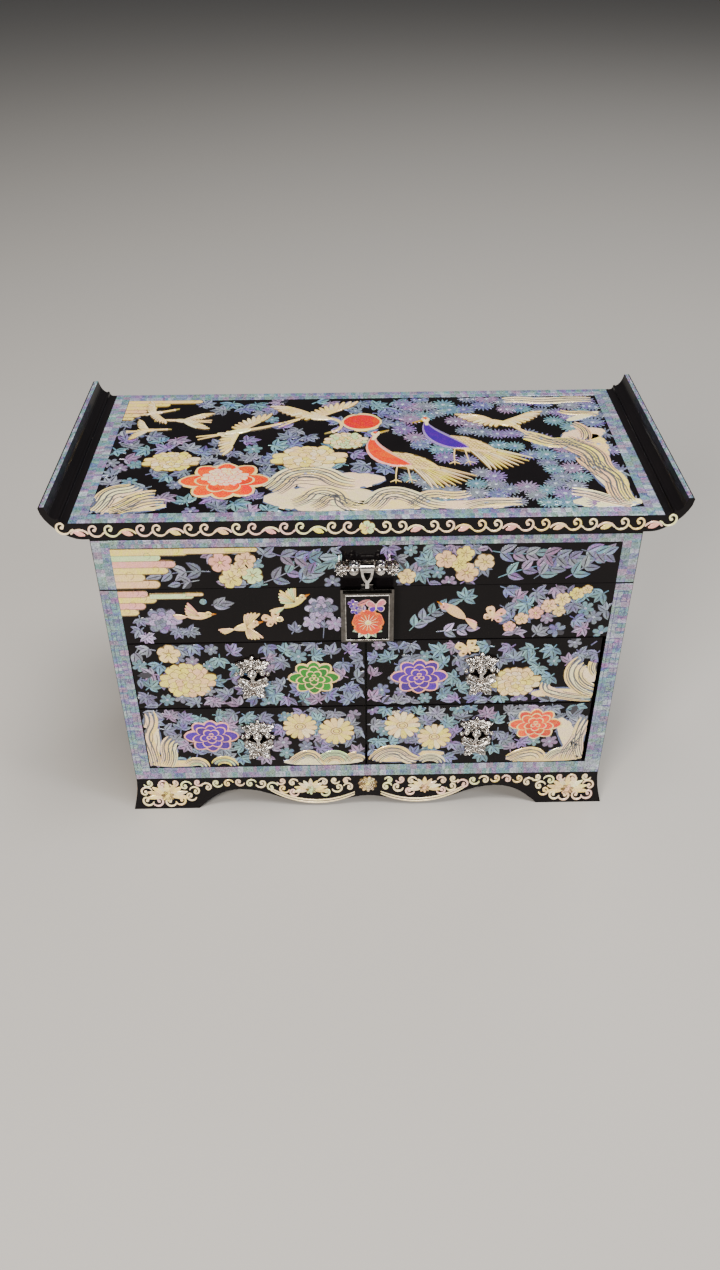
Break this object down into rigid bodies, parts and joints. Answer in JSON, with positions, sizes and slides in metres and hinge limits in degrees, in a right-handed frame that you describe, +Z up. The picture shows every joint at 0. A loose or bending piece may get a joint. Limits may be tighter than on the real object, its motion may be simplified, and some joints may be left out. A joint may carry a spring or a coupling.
{
  "type": "jewelry box",
  "caption": "Lacquered jewelry box inlaid with shell flowers and cranes: a hinged lid with upturned ends, a picture clasp, velvet well and drawers with hanging butterfly pulls.",
  "frame": {"origin": "on the table, under the middle of the box", "axes": "+X to the right, the front with the drawers faces -Y, +Z up"},
  "size_m": [0.308, 0.14, 0.21],
  "materials": {
    "lacquer": "black lacquer, high gloss, shell inlay",
    "inner_wood": "dark stained, satin",
    "velvet": "deep red velvet",
    "mirror": "silvered glass",
    "nickel": "cast, nickel plated, darkened in the hollows",
    "shell": "shell inlay under clear lacquer",
    "brass": "brushed"
  },
  "bodies": {
    "carcass": {"base_front": "lacquer", "base_back": "lacquer", "base_left": "lacquer", "base_right": "lacquer", "side_left": "lacquer", "side_right": "lacquer", "back_panel": "lacquer", "bottom_rail": "lacquer", "band_front": "lacquer", "floor_panel": "inner_wood", "well_floor": "inner_wood", "drawer_shelf": "inner_wood", "divider_lower": "inner_wood", "divider_upper": "inner_wood", "well_lining": "velvet", "well_partition_long": "velvet", "well_partition_front": "velvet", "well_partition_left": "velvet", "well_partition_right": "velvet", "ring_cushion": "velvet", "clasp_stud": "nickel", "hinge_pin_left": "nickel", "hinge_pin_right": "nickel", "hinge_body_leaf_left": "brass", "hinge_body_leaf_right": "brass"},
    "lid": {"lid_front": "lacquer", "lid_back": "lacquer", "lid_left": "lacquer", "lid_right": "lacquer", "top_panel": "lacquer", "end_moulding_left": "lacquer", "end_moulding_right": "lacquer", "mirror_frame": "inner_wood", "mirror": "mirror", "hinge_lid_leaf_left": "brass", "hinge_lid_leaf_right": "brass", "clasp_mount": "nickel"},
    "hasp": {"clasp_hanger": "nickel", "clasp_frame": "nickel", "clasp_tile": "shell"},
    "drawer_lower_left": {"drawer_front_lower_left": "lacquer", "drawer_box_lower_left": "inner_wood", "drawer_lining_lower_left": "velvet", "pull_plate_lower_left": "nickel"},
    "pendant_lower_left": {"pull_pendant_lower_left": "nickel"},
    "drawer_lower_right": {"drawer_front_lower_right": "lacquer", "drawer_box_lower_right": "inner_wood", "drawer_lining_lower_right": "velvet", "pull_plate_lower_right": "nickel"},
    "pendant_lower_right": {"pull_pendant_lower_right": "nickel"},
    "drawer_upper_left": {"drawer_front_upper_left": "lacquer", "drawer_box_upper_left": "inner_wood", "drawer_lining_upper_left": "velvet", "pull_plate_upper_left": "nickel"},
    "pendant_upper_left": {"pull_pendant_upper_left": "nickel"},
    "drawer_upper_right": {"drawer_front_upper_right": "lacquer", "drawer_box_upper_right": "inner_wood", "drawer_lining_upper_right": "velvet", "pull_plate_upper_right": "nickel"},
    "pendant_upper_right": {"pull_pendant_upper_right": "nickel"}
  },
  "joints": [
    {"name": "lid_hinge", "type": "hinge", "parent": "carcass", "child": "lid", "pos_m": [0, 0.0646, 0.15665], "axis": [-1, 0, 0], "range_deg": [0, 100]},
    {"name": "hasp_hinge", "type": "hinge", "parent": "lid", "child": "hasp", "pos_m": [0, -0.0663, 0.171], "axis": [-1, 0, 0], "range_deg": [0, 110]},
    {"name": "drawer_slide_lower_left", "type": "slide", "parent": "carcass", "child": "drawer_lower_left", "axis": [0, -1, 0], "range_m": [0, 0.085]},
    {"name": "pendant_hinge_lower_left", "type": "hinge", "parent": "drawer_lower_left", "child": "pendant_lower_left", "pos_m": [-0.0615, -0.066, 0.0577], "axis": [-1, 0, 0], "range_deg": [-5, 100]},
    {"name": "drawer_slide_lower_right", "type": "slide", "parent": "carcass", "child": "drawer_lower_right", "axis": [0, -1, 0], "range_m": [0, 0.085]},
    {"name": "pendant_hinge_lower_right", "type": "hinge", "parent": "drawer_lower_right", "child": "pendant_lower_right", "pos_m": [0.0612, -0.066, 0.0577], "axis": [-1, 0, 0], "range_deg": [-5, 100]},
    {"name": "drawer_slide_upper_left", "type": "slide", "parent": "carcass", "child": "drawer_upper_left", "axis": [0, -1, 0], "range_m": [0, 0.085]},
    {"name": "pendant_hinge_upper_left", "type": "hinge", "parent": "drawer_upper_left", "child": "pendant_upper_left", "pos_m": [-0.0615, -0.066, 0.1035], "axis": [-1, 0, 0], "range_deg": [-5, 100]},
    {"name": "drawer_slide_upper_right", "type": "slide", "parent": "carcass", "child": "drawer_upper_right", "axis": [0, -1, 0], "range_m": [0, 0.085]},
    {"name": "pendant_hinge_upper_right", "type": "hinge", "parent": "drawer_upper_right", "child": "pendant_upper_right", "pos_m": [0.0612, -0.066, 0.1035], "axis": [-1, 0, 0], "range_deg": [-5, 100]}
  ]
}
